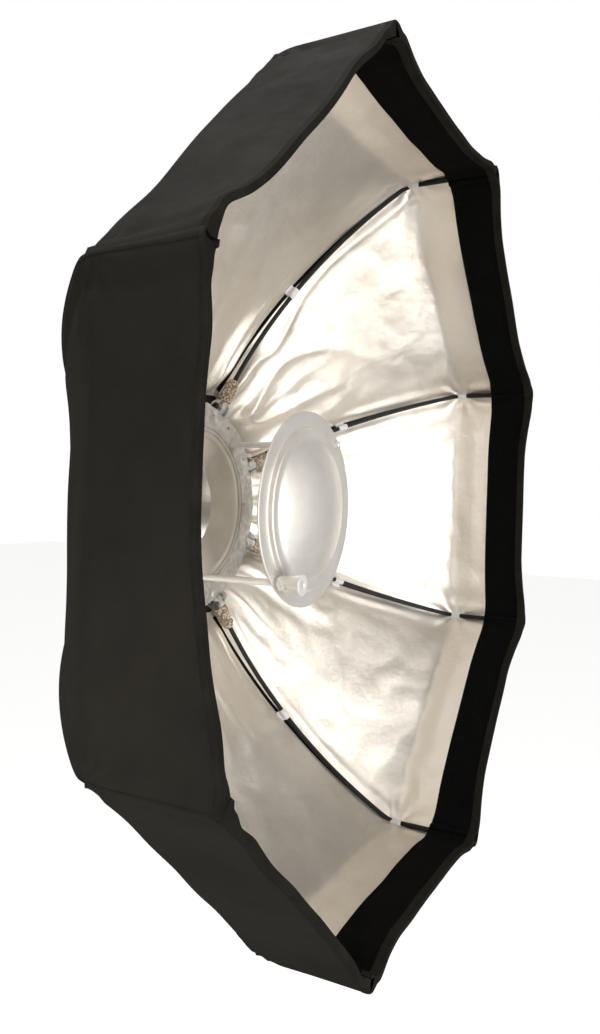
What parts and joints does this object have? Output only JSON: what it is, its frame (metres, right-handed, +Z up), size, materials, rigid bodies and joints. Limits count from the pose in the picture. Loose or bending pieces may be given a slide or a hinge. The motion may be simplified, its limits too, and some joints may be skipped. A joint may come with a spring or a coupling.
{
  "type": "octagonal studio softbox",
  "caption": "Folding octagonal softbox: hinged ribs on a speed ring, black shell, silver lining, and a round deflector on two posts.",
  "frame": {"origin": "middle of the light bore in the speed ring's insert, on the softbox's axis", "axes": "+Y along the axis out of the back, towards the light; the open front faces -Y; +Z up"},
  "size_m": [0.6468, 0.274, 0.6468],
  "materials": {
    "cast_ring": "sand-textured casting",
    "pin_steel": "blackened steel",
    "shell_fabric": "matte black coated nylon",
    "insert_metal": "satin, warm",
    "knob_black": "moulded",
    "dish_metal": "fine satin",
    "post_metal": "bright satin",
    "thumb_metal": "satin with knurled root",
    "rod_black": "black, semi-gloss",
    "socket_metal": "knurled, warm tint",
    "ribbon": "white woven ribbon",
    "lining_silver": "metallised silver satin",
    "loop_band": "black loop pile"
  },
  "bodies": {
    "insert": {"insert_ring": "insert_metal"},
    "ring": {"speed_ring": "cast_ring", "pivot_pins": "pin_steel", "retaining_ring": "pin_steel", "back_collar": "shell_fabric", "deflector_dish": "dish_metal", "deflector_posts": "post_metal", "dish_nut": "post_metal"},
    "lock_knob": {"lock_knob": "knob_black"},
    "thumb_knob": {"thumb_knob": "thumb_metal"},
    "rib_1": {"rib_1_rod": "rod_black", "rib_1_socket": "socket_metal", "rib_1_loops": "ribbon", "rib_1_shell": "shell_fabric", "rib_1_lining": "lining_silver", "rib_1_band": "loop_band"},
    "rib_2": {"rib_2_rod": "rod_black", "rib_2_socket": "socket_metal", "rib_2_loops": "ribbon", "rib_2_shell": "shell_fabric", "rib_2_lining": "lining_silver", "rib_2_band": "loop_band"},
    "rib_3": {"rib_3_rod": "rod_black", "rib_3_socket": "socket_metal", "rib_3_loops": "ribbon", "rib_3_shell": "shell_fabric", "rib_3_lining": "lining_silver", "rib_3_band": "loop_band"},
    "rib_4": {"rib_4_rod": "rod_black", "rib_4_socket": "socket_metal", "rib_4_loops": "ribbon", "rib_4_shell": "shell_fabric", "rib_4_lining": "lining_silver", "rib_4_band": "loop_band"},
    "rib_5": {"rib_5_rod": "rod_black", "rib_5_socket": "socket_metal", "rib_5_loops": "ribbon", "rib_5_shell": "shell_fabric", "rib_5_lining": "lining_silver", "rib_5_band": "loop_band"},
    "rib_6": {"rib_6_rod": "rod_black", "rib_6_socket": "socket_metal", "rib_6_loops": "ribbon", "rib_6_shell": "shell_fabric", "rib_6_lining": "lining_silver", "rib_6_band": "loop_band"},
    "rib_7": {"rib_7_rod": "rod_black", "rib_7_socket": "socket_metal", "rib_7_loops": "ribbon", "rib_7_shell": "shell_fabric", "rib_7_lining": "lining_silver", "rib_7_band": "loop_band"},
    "rib_8": {"rib_8_rod": "rod_black", "rib_8_socket": "socket_metal", "rib_8_loops": "ribbon", "rib_8_shell": "shell_fabric", "rib_8_lining": "lining_silver", "rib_8_band": "loop_band"}
  },
  "joints": [
    {"name": "ring_turn", "type": "hinge", "parent": "insert", "child": "ring", "pos_m": [0, -0.01, 0], "axis": [0, 1, 0], "continuous": true},
    {"name": "rib_1_fold", "type": "hinge", "parent": "ring", "child": "rib_1", "pos_m": [0.09331, -0.02213, 0.03865], "axis": [0.3827, 0, -0.9239], "range_deg": [0, 55], "deforming": ["rib_1_shell", "rib_1_lining", "rib_1_band"]},
    {"name": "rib_2_fold", "type": "hinge", "parent": "ring", "child": "rib_2", "pos_m": [0.03865, -0.02213, 0.09331], "axis": [0.9239, 0, -0.3827], "range_deg": [0, 55], "deforming": ["rib_2_shell", "rib_2_lining", "rib_2_band"]},
    {"name": "rib_3_fold", "type": "hinge", "parent": "ring", "child": "rib_3", "pos_m": [-0.03865, -0.02213, 0.09331], "axis": [0.9239, 0, 0.3827], "range_deg": [0, 55], "deforming": ["rib_3_shell", "rib_3_lining", "rib_3_band"]},
    {"name": "rib_4_fold", "type": "hinge", "parent": "ring", "child": "rib_4", "pos_m": [-0.09331, -0.02213, 0.03865], "axis": [0.3827, 0, 0.9239], "range_deg": [0, 55], "deforming": ["rib_4_shell", "rib_4_lining", "rib_4_band"]},
    {"name": "rib_5_fold", "type": "hinge", "parent": "ring", "child": "rib_5", "pos_m": [-0.09331, -0.02213, -0.03865], "axis": [-0.3827, 0, 0.9239], "range_deg": [0, 55], "deforming": ["rib_5_shell", "rib_5_lining", "rib_5_band"]},
    {"name": "rib_6_fold", "type": "hinge", "parent": "ring", "child": "rib_6", "pos_m": [-0.03865, -0.02213, -0.09331], "axis": [-0.9239, 0, 0.3827], "range_deg": [0, 55], "deforming": ["rib_6_shell", "rib_6_lining", "rib_6_band"]},
    {"name": "rib_7_fold", "type": "hinge", "parent": "ring", "child": "rib_7", "pos_m": [0.03865, -0.02213, -0.09331], "axis": [-0.9239, 0, -0.3827], "range_deg": [0, 55], "deforming": ["rib_7_shell", "rib_7_lining", "rib_7_band"]},
    {"name": "rib_8_fold", "type": "hinge", "parent": "ring", "child": "rib_8", "pos_m": [0.09331, -0.02213, -0.03865], "axis": [-0.3827, 0, -0.9239], "range_deg": [0, 55], "deforming": ["rib_8_shell", "rib_8_lining", "rib_8_band"]},
    {"name": "lock_knob_turn", "type": "hinge", "parent": "ring", "child": "lock_knob", "pos_m": [0, -0.003, -0.09], "axis": [0, 0, -1], "continuous": true},
    {"name": "thumb_knob_turn", "type": "hinge", "parent": "ring", "child": "thumb_knob", "pos_m": [-0.05353, -0.15, -0.05945], "axis": [0, -1, 0], "continuous": true}
  ],
  "couplings": [
    {"joint": "rib_2_fold", "follows": "rib_1_fold", "ratio": 1},
    {"joint": "rib_3_fold", "follows": "rib_1_fold", "ratio": 1},
    {"joint": "rib_4_fold", "follows": "rib_1_fold", "ratio": 1},
    {"joint": "rib_5_fold", "follows": "rib_1_fold", "ratio": 1},
    {"joint": "rib_6_fold", "follows": "rib_1_fold", "ratio": 1},
    {"joint": "rib_7_fold", "follows": "rib_1_fold", "ratio": 1},
    {"joint": "rib_8_fold", "follows": "rib_1_fold", "ratio": 1}
  ]
}
